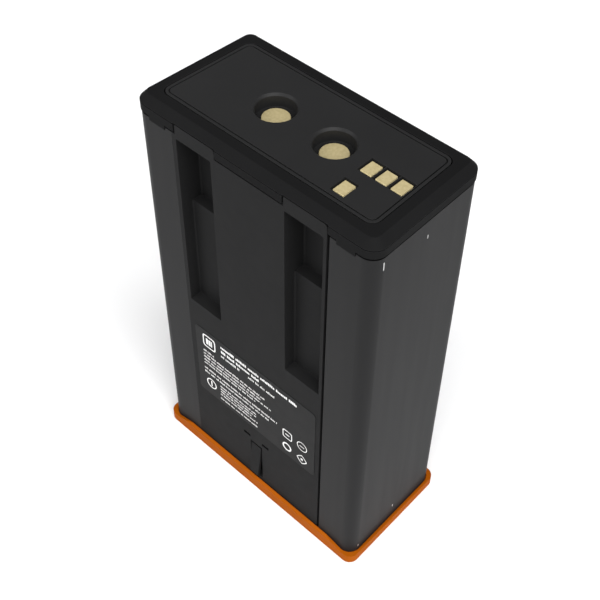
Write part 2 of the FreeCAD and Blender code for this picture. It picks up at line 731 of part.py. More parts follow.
def make_contact_plate():
    """Plate with a fine groove just inside its edge, two wells on bosses and four sunk windows."""
    body = new_body("contact_plate")
    flange = plan(body, "flange", "plate_inset", PLATE_FOOT, "plate_corner")
    extrude(body, flange, "plate_thickness")
    sink = plan(body, "sink", "plate_inset + plate_frame", "pack_height", "plate_corner - plate_frame")
    extrude(body, sink, "plate_groove_depth", "Pocket")
    top = plan(body, "top", "plate_inset + plate_frame + plate_groove", "pack_height - plate_groove_depth",
               "plate_corner - plate_frame - plate_groove")
    extrude(body, top, "plate_groove_depth")

    bosses = new_sketch(body, "bosses", offset=PLATE_FOOT)
    for _, x in WELLS:
        circle(bosses, x, "0", "well_radius + well_wall")
    extrude(body, bosses, "well_depth + well_floor - plate_thickness", reverse=True)
    posts = new_sketch(body, "posts", offset=PLATE_FOOT)
    for x, y in POSTS:
        circle(posts, x, y, "post_radius")
    extrude(body, posts, "%s - %s" % (PLATE_FOOT, BOARD_TOP), reverse=True)
    wells = new_sketch(body, "wells", offset="pack_height")
    for _, x in WELLS:
        circle(wells, x, "0", "well_radius")
    part = extrude(body, wells, "well_depth", "Pocket")
    rims = [name for name in level_edges(part, number("pack_height"))
            if isinstance(part.Shape.getElement(name).Curve, Part.Circle)
            and abs(part.Shape.getElement(name).Curve.Radius - number("well_radius")) < 1e-6]
    dress(body, "Chamfer", part, rims, "Size", "well_bevel")
    stems = new_sketch(body, "stem_holes", offset="pack_height - well_depth")
    for _, x in WELLS:
        circle(stems, x, "0", "stem_radius + fit_gap / 2")
    extrude(body, stems, "well_floor + 1", "Pocket")

    sunk = new_sketch(body, "sunk", offset="pack_height")
    holes = new_sketch(body, "pad_holes", offset="pack_height")
    for x, y in PADS:
        for sketch, grow in ((sunk, "pad_border"), (holes, "fit_gap / 4")):
            rectangle(sketch, "%s - pad_width / 2 - %s" % (x, grow), "%s + pad_width / 2 + %s" % (x, grow),
                      "%s - pad_length / 2 - %s" % (y, grow), "%s + pad_length / 2 + %s" % (y, grow))
    extrude(body, sunk, "pad_well", "Pocket")
    extrude(body, holes, "plate_thickness + 1", "Pocket")
    return node(body, "contact_plate")


def make_power_contacts():
    """A turned disc with a low dome and a bevelled edge, on a stem through the well's floor."""
    for name, x in WELLS:
        body = new_body("power_contact_" + name)
        section = new_sketch(body, "section", "XZ_Plane")
        face = "pack_height - disc_sink"
        under = "pack_height - well_depth"
        foot = "%s - stem_length" % under
        polygon(section, [
            ("0", foot), ("stem_radius", foot), ("stem_radius", under), ("disc_radius", under),
            ("disc_radius", face + " - disc_bevel"), ("disc_radius - disc_bevel", face),
            ("disc_radius / 2", face + " + disc_dome"), ("0", face + " + disc_dome"),
        ])
        turned = body.newObject("PartDesign::Revolution", body.Name + "_turned")
        turned.Profile = section
        turned.ReferenceAxis = (section, ["V_Axis"])
        turned.Angle = 360
        doc.recompute()
        bind(body, "Placement.Base.x", x)
        node(body, "power_contact_" + name)


def make_signal_contacts():
    parts = []
    for i, (x, y) in enumerate(PADS):
        blank = box("pad_blank_%d" % i, "%s - pad_width / 2" % x, "%s + pad_width / 2" % x,
                    "%s - pad_length / 2" % y, "%s + pad_length / 2" % y,
                    BOARD_TOP, "pack_height - pad_sink")
        parts.append(blank)
    return node(join("Compound", "signal_contacts", Links=parts), "signal_contacts")


def make_contact_board():
    """Small board under the signal contacts, held to the plate's two posts by screws from below."""
    under = "%s - board_thickness" % BOARD_TOP
    near = "pad_first - pad_width / 2 - pad_border"
    far = "pad_first + 2 * pad_pitch + pad_width / 2 + pad_border / 2"
    blank = box("contact_board_blank", near, far, "%s + ribbon_thickness" % BMS_BACK,
                "-pad_row + pad_length / 2 + pad_border", under, BOARD_TOP)
    holes = []
    screws = []
    for i, (x, y) in enumerate(POSTS):
        hole = cylinder("board_hole_%d" % i, x, y, under + " - 1", "board_screw_radius",
                        "board_thickness + 2")
        holes.append(hole)
        shank = cylinder("board_shank_%d" % i, x, y, under, "board_screw_radius", "board_thickness")
        head = cylinder("board_head_%d" % i, x, y, under + " - board_screw_radius", "board_screw_head",
                        "board_screw_radius")
        screws.append(join("Fuse", "board_screw_%d" % i, Base=shank, Tool=head))
    tool = join("Compound", "board_holes", Links=holes)
    node(join("Cut", "contact_board", Base=blank, Tool=tool), "contact_board")
    node(join("Compound", "board_screws", Links=screws), "board_screws")


def make_gaskets():
    """A thin ring under the contact plate, and one on the shell's top edge behind the gap."""
    ring = new_body("plate_gasket")
    foot = "%s - gasket_thickness" % PLATE_FOOT
    outer = plan(ring, "outer", "plate_inset + fit_gap", foot, "plate_corner")
    extrude(ring, outer, "gasket_thickness")
    inner = plan(ring, "inner", "plate_inset + cap_ledge - fit_gap", PLATE_FOOT, "2")
    extrude(ring, inner, "gasket_thickness + 1", "Pocket")
    node(ring, "plate_gasket")

    ring = new_body("cap_gasket")
    outer = plan(ring, "outer", "cap_gasket_inset", SHELL_TOP, "shell_corner - cap_gasket_inset")
    extrude(ring, outer, "cap_gap")
    inner = plan(ring, "inner", "shell_wall", CAP_FOOT, "max(shell_corner - shell_wall; 0.5)")
    extrude(ring, inner, "cap_gap + 1", "Pocket")
    front = new_sketch(ring, "front", offset=CAP_FOOT)
    rectangle(front, "-(tongue_outer + 2 * fit_gap)", "tongue_outer + 2 * fit_gap",
              "-%s - 1" % FRONT, "-%s + shell_wall + 1" % FRONT)
    extrude(ring, front, "cap_gap + 1", "Pocket")
    node(ring, "cap_gasket")


# ---------------------------------------------------------------- base

CORNERS = [(sx + SCREW_X, sy + SCREW_Y) for sx in ("", "-") for sy in ("", "-")]


def make_bumper():
    """Soft tray that the shell stands in, with a bevelled ledge round its top that dips at both ends."""
    body = new_body("base_bumper")
    outer = plan(body, "outer", "-bumper_proud", "0", "bumper_corner")
    part = extrude(body, outer, "bumper_height")
    ledge = level_edges(part, number("bumper_height"))
    part = dress(body, "Chamfer", part, ledge, "Size", "bumper_top_bevel")
    dress(body, "Chamfer", part, level_edges(part, 0.0), "Size", "bumper_foot_bevel")
    dips = new_sketch(body, "dips", "XZ_Plane")
    end = "(shell_width_front / 2 + bumper_proud + 1)"
    for sign in ("", "-"):
        polygon(dips, [
            (sign + "bumper_dip_near", "bumper_height"), (sign + "bumper_dip_far", "bumper_height - bumper_dip"),
            (sign + end, "bumper_height - bumper_dip"), (sign + end, "bumper_height + 1"),
            (sign + "bumper_dip_near", "bumper_height + 1"),
        ])
    extrude(body, dips, "2 * shell_depth", "Pocket", both=True)
    seat = plan(body, "seat", "-bumper_lip_gap", "bumper_height", "shell_corner + bumper_lip_gap")
    part = extrude(body, seat, "bumper_rebate", "Pocket")
    holes = new_sketch(body, "holes", offset=SHELL_FOOT)
    sinks = new_sketch(body, "sinks", offset="head_height + head_sink")
    for x, y in CORNERS:
        circle(holes, x, y, "screw_radius + fit_gap")
        circle(sinks, x, y, "head_radius + fit_gap")
    extrude(body, holes, "%s + 1" % SHELL_FOOT, "Pocket")
    extrude(body, sinks, "head_height + head_sink + 1", "Pocket")
    return node(body, "base_bumper")


def make_base_plate():
    body = new_body("base_plate")
    round_off = "max(shell_corner - shell_wall - fit_gap; 0.5)"
    outer = plan(body, "outer", "shell_wall + fit_gap", SHELL_FOOT, round_off)
    extrude(body, outer, "base_plate_thickness")
    front = new_sketch(body, "front", offset="%s + base_plate_thickness" % SHELL_FOOT)
    rectangle(front, "-(panel_left + panel_flange + 1)", "panel_left + panel_flange + 1",
              "-%s - 1" % FRONT, "-%s + %s + fit_gap" % (FRONT, FLANGE_BACK))
    extrude(body, front, "base_plate_thickness + 1", "Pocket")
    taps = new_sketch(body, "taps", offset="%s + base_plate_thickness" % SHELL_FOOT)
    for x, y in CORNERS:
        circle(taps, x, y, "screw_radius")
    extrude(body, taps, "base_plate_thickness + 1", "Pocket")
    return node(body, "base_plate")


def make_base_screws():
    """Pan-headed screws from below, each with a hexagon socket."""
    parts = []
    for i, (x, y) in enumerate(CORNERS):
        head = cylinder("head_%d" % i, x, y, "head_sink", "head_radius", "head_height")
        shank = cylinder("shank_%d" % i, x, y, "head_sink + head_height", "screw_radius", "screw_length")
        socket = hexagon("socket_%d" % i, x, y, "head_sink - 1", "head_radius / 2", "head_height / 2 + 1")
        blank = join("Fuse", "screw_blank_%d" % i, Base=head, Tool=shank)
        parts.append(join("Cut", "screw_%d" % i, Base=blank, Tool=socket))
    return node(join("Compound", "base_screws", Links=parts), "base_screws")


# ---------------------------------------------------------------- cells

CELLS = []
for cell_row, count in ((-1, 7), (0, 6), (1, 7)):
    for column in range(count):
        along = "(%s) * %s" % (column - (count - 1) / 2, CELL_PITCH)
        CELLS.append((along, "%s + (%d) * %s" % (CELL_CENTRE, cell_row, ROW_PITCH)))

TIERS = (("lower", 0), ("middle", 1), ("upper", 2))
SIDES = (("left", "-"), ("right", ""))


def tier_foot(index):
    return "(%s + %d * %s)" % (TIER_FOOT, index, TIER_PITCH)


def rod_cylinders(name, foot, radius, height):
    """A cylinder on each of the two tie rods' lines."""
    return [cylinder("%s_%s" % (name, side), sign + ROD_X, CELL_CENTRE, foot, radius, height)
            for side, sign in SIDES]


def make_holder(name, foot):
    """Slab with a hole for each cell and one for each tie rod."""
    slab = new_body(name + "_slab")
    outline = new_sketch(slab, "outline", offset=foot)
    rectangle(outline, "-" + HOLDER_SIDE, HOLDER_SIDE, "-" + HOLDER_FRONT, HOLDER_BACK)
    part = extrude(slab, outline, "holder_height")
    round_corners(slab, part, outline, "holder_corner")
    low = foot + " - 1"
    through = "holder_height + 2"
    tools = [cylinder("%s_bore_%d" % (name, i), x, y, low, "cell_radius + fit_gap / 2", through)
             for i, (x, y) in enumerate(CELLS)]
    tools += rod_cylinders(name + "_rod", low, "rod_radius + fit_gap / 2", through)
    holes = join("Compound", name + "_holes", Links=tools)
    return node(join("Cut", name, Base=slab, Tool=holes), name)


def make_nickel(name, foot):
    """Five plates at each end of a tier's cells, cut clear of the tie rods' nuts."""
    pitch = "(2 * %s / 5)" % HOLDER_SIDE
    reach = "(%s + nickel_overlap)" % ROW_PITCH
    plates = []
    clear = []
    for end, z in (("foot", foot + " - nickel_thickness"), ("head", foot + " + cell_length")):
        for i in range(5):
            middle = "(%d) * %s" % (i - 2, pitch)
            plates.append(box("nickel_%s_%s_%d" % (name, end, i),
                              "%s - %s / 2 + nickel_gap / 2" % (middle, pitch),
                              "%s + %s / 2 - nickel_gap / 2" % (middle, pitch),
                              "%s - %s" % (CELL_CENTRE, reach), "%s + %s" % (CELL_CENTRE, reach),
                              z, z + " + nickel_thickness"))
        clear += rod_cylinders("nickel_clear_%s_%s" % (name, end), z + " - 1", "nut_radius + fit_gap", "2")
    blank = join("Compound", "nickel_blank_" + name, Links=plates)
    tool = join("Compound", "nickel_tool_" + name, Links=clear)
    return node(join("Cut", "nickel_plates_" + name, Base=blank, Tool=tool), "nickel_plates_" + name)


def make_tiers():
    for name, index in TIERS:
        foot = tier_foot(index)
        cells = [cylinder("cell_%s_%d" % (name, i), x, y, foot, "cell_radius", "cell_length")
                 for i, (x, y) in enumerate(CELLS)]
        node(join("Compound", "cells_" + name, Links=cells), "cells_" + name)
        make_holder("holder_%s_foot" % name, foot)
        make_holder("holder_%s_head" % name, "%s + cell_length - holder_height" % foot)
        make_nickel(name, foot)


def make_tie_rods():
    """Two threaded rods through all the holders, a nut at each end and a tube between tiers."""
    low = TIER_FOOT + " - nut_height"
    rods = rod_cylinders("rod", low, "rod_radius", "%s + 2 * nut_height - %s" % (TIER_HEAD, TIER_FOOT))
    node(join("Compound", "tie_rods", Links=rods), "tie_rods")
    nuts = []
    tubes = []
    for side, sign in SIDES:
        for end, z in (("foot", low), ("head", TIER_HEAD)):
            label = "nut_%s_%s" % (side, end)
            blank = hexagon(label + "_blank", sign + ROD_X, CELL_CENTRE, z, "nut_radius", "nut_height")
            nuts.append((blank, label, sign, z, "nut_height"))
        for index in (0, 1):
            z = "%s + cell_length" % tier_foot(index)
            label = "tube_%s_%d" % (side, index)
            blank = cylinder(label + "_blank", sign + ROD_X, CELL_CENTRE, z, "nut_radius", "tier_gap")
            tubes.append((blank, label, sign, z, "tier_gap"))
    for group, name in ((nuts, "tie_nuts"), (tubes, "tier_spacers")):
        rings = []
        for blank, label, sign, z, length in group:
            bore = cylinder(label + "_bore", sign + ROD_X, CELL_CENTRE, z + " - 1", "rod_radius",
                            length + " + 2")
            rings.append(join("Cut", label, Base=blank, Tool=bore))
        node(join("Compound", name, Links=rings), name)


# ---------------------------------------------------------------- power path and board

def make_power_path():
    """Upright busbars on the holders' front, and flat straps from them to the contact stems."""
    top = "%s + strap_thickness" % STRAP_FOOT
    front = "(-%s - bus_thickness)" % HOLDER_FRONT
    for name, sign in (("negative", "-1"), ("positive", "1")):
        near, outer = ["%s * (%s %s bus_width / 2)" % (sign, BUS_X, plus) for plus in "-+"]
        ends = sorted((near, outer), key=number)
        bar = box("busbar_" + name, *ends, front, "-" + HOLDER_FRONT,
                  TIER_FOOT + " + holder_height / 2", STRAP_FOOT)
        node(bar, "busbar_" + name)
        inner = "%s * (well_spacing / 2 - strap_width / 2)" % sign
        ends = sorted((inner, outer), key=number)
        across = box("strap_across_" + name, *ends, front, front + " + strap_width", STRAP_FOOT, top)
        ends = sorted((inner, "%s * (well_spacing / 2 + strap_width / 2)" % sign), key=number)
        along = box("strap_along_" + name, *ends, front, "strap_width / 2", STRAP_FOOT, top)
        post = cylinder("strap_post_" + name, "%s * well_spacing / 2" % sign, "0", STRAP_FOOT,
                        "stem_radius + strap_thickness", "strap_post")
        flat = join("Fuse", "strap_flat_" + name, Base=across, Tool=along)
        node(join("Fuse", "strap_" + name, Base=flat, Tool=post), "strap_" + name)
    fuse = box("main_fuse", BUS_X + " - 2 * fuse_width", BUS_X + " - fuse_width / 2",
               front + " + strap_thickness", front + " + strap_width - strap_thickness",
               top, top + " + fuse_height")
    node(fuse, "main_fuse")


def make_board():
    """Management board standing in front of the cells, on four spacers, with its parts on it."""
    face = "%s - board_thickness" % BMS_BACK
    board = box("bms_board", "-bms_width / 2", "bms_width / 2", face, BMS_BACK, BMS_FOOT, BMS_TOP)
    node(board, "bms_board")
    turn = FreeCAD.Rotation(FreeCAD.Vector(1, 0, 0), 90)
    spacers = []
    for i, x in enumerate(("-(bms_width / 2 - 2 * spacer_radius)", "bms_width / 2 - 2 * spacer_radius")):
        for j in (0, 1):
            z = "%s + cell_length - holder_height / 2" % tier_foot(j)
            spacers.append(cylinder("spacer_%d_%d" % (i, j), x, "-" + HOLDER_FRONT, z, "spacer_radius",
                                    "bms_stand", turn))
    node(join("Compound", "bms_spacers", Links=spacers), "bms_spacers")
    parts = []
    foot = BMS_FOOT + " + switch_rise"
    for i in range(8):
        middle = "(%s) * switch_pitch" % (i - 3.5)
        parts.append(box("switch_%d" % i, middle + " - switch_width / 2", middle + " + switch_width / 2",
                         face + " - switch_depth", face, foot, foot + " + switch_height"))
    foot = BMS_FOOT + " + controller_rise"
    parts.append(box("controller", "-controller_size / 2", "controller_size / 2",
                     face + " - controller_depth", face, foot, foot + " + controller_size"))
    foot = BMS_FOOT + " + socket_rise"
    parts.append(box("sense_socket", "socket_near", "socket_far", face + " - socket_depth", face,
                     foot, foot + " + socket_height"))
    for name, x in (("left", "-capacitor_far"), ("right", "-capacitor_near")):
        parts.append(cylinder("capacitor_" + name, x, face, BMS_FOOT + " + capacitor_rise",
                              "capacitor_radius", "capacitor_depth", turn))
    node(join("Compound", "bms_parts", Links=parts), "bms_parts")


def make_ribbons():
    """Sense ribbon up the holders' front, and a flex circuit from the board to the contact board."""
    ribbon = box("sense_ribbon", "-ribbon_width / 2", "ribbon_width / 2",
                 "-%s - ribbon_thickness" % HOLDER_FRONT, "-" + HOLDER_FRONT,
                 TIER_FOOT + " + holder_height / 5", TIER_HEAD + " - holder_height / 5")
    node(ribbon, "sense_ribbon")
    flex = new_body("signal_flex")
    path = new_sketch(flex, "path", "XZ_Plane", "-%s" % BMS_BACK)
    far = "flex_start + flex_width"
    turn_low = "%s - board_thickness - flex_width" % BOARD_TOP
    turn_high = "%s - board_thickness" % BOARD_TOP
    polygon(path, [
        ("flex_start", BMS_TOP + " - flex_overlap"), (far, BMS_TOP + " - flex_overlap"), (far, turn_low),
        ("pad_first + flex_width", turn_low), ("pad_first + flex_width", BOARD_TOP),
        ("pad_first", BOARD_TOP), ("pad_first", turn_high), ("flex_start", turn_high),
    ])
    extrude(flex, path, "ribbon_thickness", reverse=True)
    node(flex, "signal_flex")


def make_pads_and_beads():
    """A thermistor between three cells of each tier, and the sheets below and above the cells."""
    nook = "%s - %s + %s * tan(30 deg) / 2" % (CELL_CENTRE, ROW_PITCH, CELL_PITCH)
    beads = [cylinder("bead_" + name, CELL_PITCH + " / 2", nook, "%s + cell_length / 2" % tier_foot(index),
                      "bead_radius", "bead_length") for name, index in TIERS]
    node(join("Compound", "thermistors", Links=beads), "thermistors")
    side = "(%s - nut_radius - 1)" % ROD_X
    reach = "(%s + nickel_overlap)" % ROW_PITCH
    edges = ("%s - %s" % (CELL_CENTRE, reach), "%s + %s" % (CELL_CENTRE, reach))
    foot = TIER_FOOT + " - nickel_thickness"
    head = TIER_HEAD + " + nickel_thickness"
    sheets = (("insulation_foot", foot + " - paper_thickness", foot),
              ("insulation_head", head, head + " + paper_thickness"),
              ("foam_pad_foot", "%s + base_plate_thickness" % SHELL_FOOT, foot + " - paper_thickness"),
              ("foam_pad_head", head + " + paper_thickness", head + " + paper_thickness + foam_thickness"))
    for name, z0, z1 in sheets:
        node(box(name, "-" + side, side, *edges, z0, z1), name)


make_shell()
make_keys()
make_panel()
make_finger()
make_clip()
make_label()
make_cap()
make_contact_plate()
make_power_contacts()
make_signal_contacts()
make_contact_board()
make_gaskets()
make_bumper()
make_base_plate()
make_base_screws()
make_tiers()
make_tie_rods()
make_power_path()
make_board()
make_ribbons()
make_pads_and_beads()

doc.recompute()
faults = [thing.Name for thing in doc.Objects if "Invalid" in thing.State or "Error" in thing.State]
faults += [part.Label for part in nodes if part.Shape.isNull() or not part.Shape.isValid()]
if faults:
    raise RuntimeError("failed objects: " + ", ".join(faults))

os.makedirs("parts", exist_ok=True)
for part in nodes:
    part.Shape.exportStep("parts/%s.step" % part.Label)
    print("%-26s %9.1f mm3, %d solids" % (part.Label, part.Shape.Volume, len(part.Shape.Solids)))
print(len(nodes), "nodes")
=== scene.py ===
import json
import math
import bpy
import numpy as np
from mathutils import Matrix, Vector


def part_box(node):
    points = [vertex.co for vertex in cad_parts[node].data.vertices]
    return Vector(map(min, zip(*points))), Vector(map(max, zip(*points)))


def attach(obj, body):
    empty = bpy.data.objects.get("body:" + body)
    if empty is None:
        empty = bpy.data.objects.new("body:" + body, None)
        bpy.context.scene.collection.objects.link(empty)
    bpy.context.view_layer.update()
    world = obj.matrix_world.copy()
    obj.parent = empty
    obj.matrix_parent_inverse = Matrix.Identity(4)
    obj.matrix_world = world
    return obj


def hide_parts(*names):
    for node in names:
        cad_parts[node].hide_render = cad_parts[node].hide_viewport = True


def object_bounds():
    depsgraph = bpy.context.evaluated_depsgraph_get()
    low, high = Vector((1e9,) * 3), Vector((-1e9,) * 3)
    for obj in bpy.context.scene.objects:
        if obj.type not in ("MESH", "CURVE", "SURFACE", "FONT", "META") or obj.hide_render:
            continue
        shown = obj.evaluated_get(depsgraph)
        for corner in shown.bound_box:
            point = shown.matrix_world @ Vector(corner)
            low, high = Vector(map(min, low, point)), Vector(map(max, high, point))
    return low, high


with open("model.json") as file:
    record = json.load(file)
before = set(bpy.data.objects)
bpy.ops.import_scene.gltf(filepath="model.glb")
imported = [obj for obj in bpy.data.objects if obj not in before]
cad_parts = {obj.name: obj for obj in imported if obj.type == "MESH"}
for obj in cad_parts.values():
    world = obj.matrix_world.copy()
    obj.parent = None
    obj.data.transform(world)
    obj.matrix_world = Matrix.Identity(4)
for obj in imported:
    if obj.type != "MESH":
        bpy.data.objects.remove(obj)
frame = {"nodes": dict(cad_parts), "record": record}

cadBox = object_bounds()
mm = 0.001
scene = bpy.context.scene
scene.view_settings.view_transform = "Standard"
print("frame loaded:", len(frame["nodes"]), "nodes")


# camera, floor and light

cameraSpec = {
    "place": (0.260118, -0.277898, 0.551613),
    "aim": (-0.001730, 0.0, 0.133469),
    "lens": 64.87,            # mm, on a 36 mm sensor
    "roll": 0.64,             # degrees
}


def makeCamera(spec):
    # The camera looks from place to aim; its right and up vectors are turned by the roll about that line.
    data = bpy.data.cameras.new("camera")
    data.lens = spec["lens"]
    camera = bpy.data.objects.new("camera", data)
    scene.collection.objects.link(camera)
    forward = (Vector(spec["aim"]) - Vector(spec["place"])).normalized()
    right = forward.cross(Vector((0, 0, 1))).normalized()
    up = right.cross(forward)
    turn = math.radians(spec["roll"])
    across = right * math.cos(turn) + up * math.sin(turn)
    above = up * math.cos(turn) - right * math.sin(turn)
    axes = Matrix((across, above, -forward)).transposed()
    camera.matrix_world = Matrix.Translation(spec["place"]) @ axes.to_4x4()
    scene.camera = camera


stageSpec = {
    "floorHalf": 4.0,
    "floorColor": (0.86, 0.86, 0.86),
    "floorRoughness": 0.8,
    "floorSpecular": 0.1,
    "skyLow": (0.62, 0.62, 0.63),
    "skyHigh": (0.18, 0.18, 0.185),
    "skyTurn": 0.6,           # height on the unit sphere from which the sky has its upper tone
    "skyStrength": 1.0,
    "sunFrom": (0.75, -0.45, 1.15),
    "sunStrength": 3.6,
    "sunSpread": 55.0,        # degrees
}


def makeFloor(spec):
    # A flat pale square under the object, its corners at plus and minus the half width.
    corners = np.array([(-1, -1, 0), (1, -1, 0), (1, 1, 0), (-1, 1, 0)], float) * spec["floorHalf"]
    mesh = bpy.data.meshes.new("floor")
    mesh.from_pydata(corners.tolist(), [], [(0, 1, 2, 3)])
    floor = bpy.data.objects.new("floor", mesh)
    scene.collection.objects.link(floor)
    material = bpy.data.materials.new("floorPaper")
    material.use_nodes = True
    shader = material.node_tree.nodes["Principled BSDF"]
    shader.inputs["Base Color"].default_value = (*spec["floorColor"], 1)
    shader.inputs["Roughness"].default_value = spec["floorRoughness"]
    shader.inputs["Specular IOR Level"].default_value = spec["floorSpecular"]
    mesh.materials.append(material)


def makeSky(spec):
    # The sky's tone follows height: skyLow at the horizon, in a straight line to skyHigh at skyTurn.
    world = bpy.data.worlds.new("studio")
    world.use_nodes = True
    scene.world = world
    nodes = world.node_tree.nodes
    links = world.node_tree.links
    background = nodes["Background"]
    background.inputs["Strength"].default_value = spec["skyStrength"]
    coords = nodes.new("ShaderNodeTexCoord")
    split = nodes.new("ShaderNodeSeparateXYZ")
    ramp = nodes.new("ShaderNodeValToRGB")
    lower, upper = ramp.color_ramp.elements
    lower.color = (*spec["skyLow"], 1)
    upper.color = (*spec["skyHigh"], 1)
    upper.position = spec["skyTurn"]
    links.new(coords.outputs["Generated"], split.inputs["Vector"])
    links.new(split.outputs["Z"], ramp.inputs["Fac"])
    links.new(ramp.outputs["Color"], background.inputs["Color"])


def makeSun(spec):
    # One wide soft sun that shines from sunFrom towards the origin.
    data = bpy.data.lights.new("sun", "SUN")
    data.energy = spec["sunStrength"]
    data.angle = math.radians(spec["sunSpread"])
    sun = bpy.data.objects.new("sun", data)
    scene.collection.objects.link(sun)
    sun.rotation_mode = "QUATERNION"
    sun.rotation_quaternion = Vector(spec["sunFrom"]).to_track_quat("Z", "Y")


softboxes = [
    {"name": "sideBox", "place": (1.1, 0.1, 0.5), "size": (0.9, 0.7), "power": 5.0},
    {"name": "frontBox", "place": (-0.45, -1.05, 0.8), "size": (0.9, 0.6), "power": 9.0},
]


def makeSoftboxes(boxes):
    # Rectangular lamps, each facing the middle of the object.
    middle = (cadBox[0] + cadBox[1]) / 2
    for spec in boxes:
        data = bpy.data.lights.new(spec["name"], "AREA")
        data.shape = "RECTANGLE"
        data.size, data.size_y = spec["size"]
        data.energy = spec["power"]
        lamp = bpy.data.objects.new(spec["name"], data)
        scene.collection.objects.link(lamp)
        lamp.location = spec["place"]
        lamp.rotation_mode = "QUATERNION"
        lamp.rotation_quaternion = (Vector(spec["place"]) - middle).to_track_quat("Z", "Y")


makeCamera(cameraSpec)
makeFloor(stageSpec)
makeSky(stageSpec)
makeSun(stageSpec)
makeSoftboxes(softboxes)
print("camera and light ready")


# materials

surfaceSpec = {
    "noiseLow": 0.3,          # the part of the noise's range that is used
    "noiseHigh": 0.7,
    "toneDetail": 4,          # octaves of each noise
    "roughDetail": 3,
    "grainDetail": 2,
    "bevelSamples": 4,
    "edgeMatch": 0.75,        # dot product of rounded and true normals at which the edge wear and painted highlight are full
    "bumpStrength": 0.6,
    "wornAndHighlightGain": 2.2,          # a worn edge's tone over the light tone; the lighter edge is partly wear and partly a painted highlight
    "wornAndHighlightLift": 0.01,
}


def addNoise(nodes, links, vector, size, detail):
    # Fractal noise with features of the given size in metres: its scale is one over the size.
    noise = nodes.new("ShaderNodeTexNoise")
    noise.inputs["Scale"].default_value = 1 / size
    noise.inputs["Detail"].default_value = detail
    links.new(vector, noise.inputs["Vector"])
    return noise.outputs["Fac"]


def addSpread(nodes, links, value, low, high):
    # The used part of the noise's range, stretched in a straight line from low to high.
    spread = nodes.new("ShaderNodeMapRange")
    spread.inputs["From Min"].default_value = surfaceSpec["noiseLow"]
    spread.inputs["From Max"].default_value = surfaceSpec["noiseHigh"]
    spread.inputs["To Min"].default_value = low
    spread.inputs["To Max"].default_value = high
    links.new(value, spread.inputs["Value"])
    return spread.outputs["Result"]


def addRoundedEdge(nodes, links, radius, wear):
    # The rounded normal, and the edge mask for wear and painted highlight: none where it matches the true
    # normal, up to its full amount at edgeMatch.
    rounded = nodes.new("ShaderNodeBevel")
    rounded.samples = surfaceSpec["bevelSamples"]
    rounded.inputs["Radius"].default_value = radius
    true = nodes.new("ShaderNodeNewGeometry")
    match = nodes.new("ShaderNodeVectorMath")
    match.operation = "DOT_PRODUCT"
    worn = nodes.new("ShaderNodeMapRange")
    worn.inputs["From Min"].default_value = 1.0
    worn.inputs["From Max"].default_value = surfaceSpec["edgeMatch"]
    worn.inputs["To Max"].default_value = wear
    links.new(rounded.outputs["Normal"], match.inputs[0])
    links.new(true.outputs["Normal"], match.inputs[1])
    links.new(match.outputs["Value"], worn.inputs["Value"])
    return rounded.outputs["Normal"], worn.outputs["Result"]


def makeFinish(name, spec):
    # Two tones mixed by large noise, roughness by mid noise, a moulded or rolled grain as bump, and rounded
    # edges: where the rounded normal leaves the true one the colour goes to a lighter tone, wear and painted
    # highlight.
    material = bpy.data.materials.new(name)
    material.use_nodes = True
    nodes = material.node_tree.nodes
    links = material.node_tree.links
    shader = nodes["Principled BSDF"]
    coords = nodes.new("ShaderNodeTexCoord")
    place = nodes.new("ShaderNodeMapping")
    place.inputs["Scale"].default_value = spec["stretch"]
    links.new(coords.outputs["Object"], place.inputs["Vector"])
    vector = place.outputs["Vector"]
    tone = addNoise(nodes, links, vector, spec["toneSize"], surfaceSpec["toneDetail"])
    rough = addNoise(nodes, links, vector, spec["roughSize"], surfaceSpec["roughDetail"])
    grain = addNoise(nodes, links, vector, spec["grainSize"], surfaceSpec["grainDetail"])
    normal, worn = addRoundedEdge(nodes, links, spec["edge"], spec["wear"])

    base = nodes.new("ShaderNodeMix")
    base.data_type = "RGBA"
    base.inputs["A"].default_value = (*spec["dark"], 1)
    base.inputs["B"].default_value = (*spec["light"], 1)
    links.new(addSpread(nodes, links, tone, 0, 1), base.inputs["Factor"])
    # lighter rounded edges: partly wear, partly a painted highlight
    edge = nodes.new("ShaderNodeMix")
    edge.data_type = "RGBA"
    edge.inputs["B"].default_value = (*spec["wornTone"], 1)
    links.new(worn, edge.inputs["Factor"])
    links.new(base.outputs["Result"], edge.inputs["A"])
    links.new(edge.outputs["Result"], shader.inputs["Base Color"])
    links.new(addSpread(nodes, links, rough, *spec["roughness"]), shader.inputs["Roughness"])

    bump = nodes.new("ShaderNodeBump")
    bump.inputs["Distance"].default_value = spec["grainDepth"]
    bump.inputs["Strength"].default_value = surfaceSpec["bumpStrength"]
    links.new(grain, bump.inputs["Height"])
    links.new(normal, bump.inputs["Normal"])
    links.new(bump.outputs["Normal"], shader.inputs["Normal"])

    shader.inputs["Metallic"].default_value = spec["metallic"]
    shader.inputs["Specular IOR Level"].default_value = spec["specular"]
    return material


def surface(dark, light, rough, grain=0.35 * mm, depth=0.006 * mm, **more):
    # One finish: its two tones, range of roughness, and the grain's width and depth. A worn edge's tone,
    # partly wear and partly a painted highlight, is the light tone times the edge gain, plus the edge lift,
    # and at most 1.
    worn = tuple(min(1.0, surfaceSpec["wornAndHighlightGain"] * c + surfaceSpec["wornAndHighlightLift"]) for c in light)
    spec = {
        "dark": dark,
        "light": light,
        "wornTone": worn,
        "roughness": rough,
        "toneSize": 0.04,
        "roughSize": 0.006,
        "grainSize": grain,
        "grainDepth": depth,
        "stretch": (1, 1, 1),
        "edge": 0.25 * mm,
        "wear": 0.25,
        "metallic": 0.0,
        "specular": 0.5,
    }
    return {**spec, **more}


